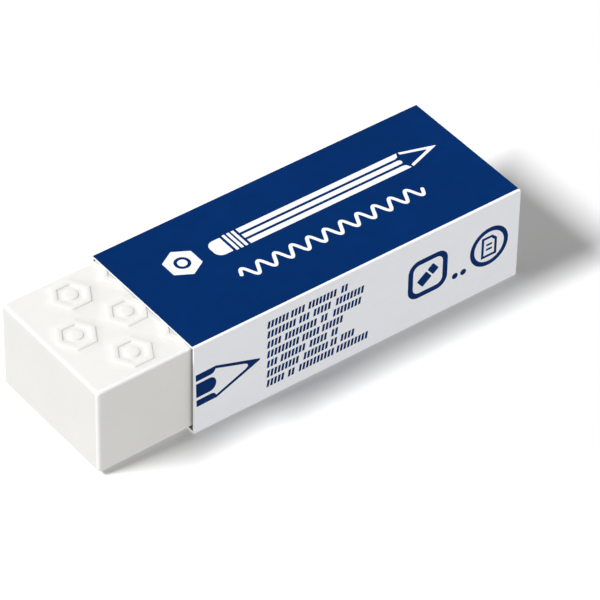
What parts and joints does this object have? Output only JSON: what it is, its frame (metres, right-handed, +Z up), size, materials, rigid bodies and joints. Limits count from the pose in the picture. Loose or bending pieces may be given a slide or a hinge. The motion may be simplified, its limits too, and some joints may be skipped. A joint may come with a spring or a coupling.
{
  "type": "rubber eraser",
  "caption": "Block eraser of soft white vinyl in a dark blue and white folded card sleeve with open ends, from which the block slides out.",
  "frame": {"origin": "on the resting plane, under the middle of the overall length and of the sleeve's width", "axes": "+X along the block from its bare end towards the covered end, +Y from the front narrow side to the rear one, +Z up"},
  "size_m": [0.065, 0.0216, 0.0141],
  "materials": {
    "block_vinyl": "matte, slightly warm white, fine dusty grain, rounded lighter edges",
    "sleeve_card": "coated board printed dark blue on its wide faces and left white on its narrow ones, satin, bare white cut edges"
  },
  "bodies": {
    "sleeve": {"card_sleeve": "sleeve_card"},
    "block": {"eraser_block": "block_vinyl"}
  },
  "joints": [
    {"name": "block_slide", "type": "slide", "parent": "sleeve", "child": "block", "axis": [-1, 0, 0], "range_m": [-0.0138, 0.025]}
  ]
}
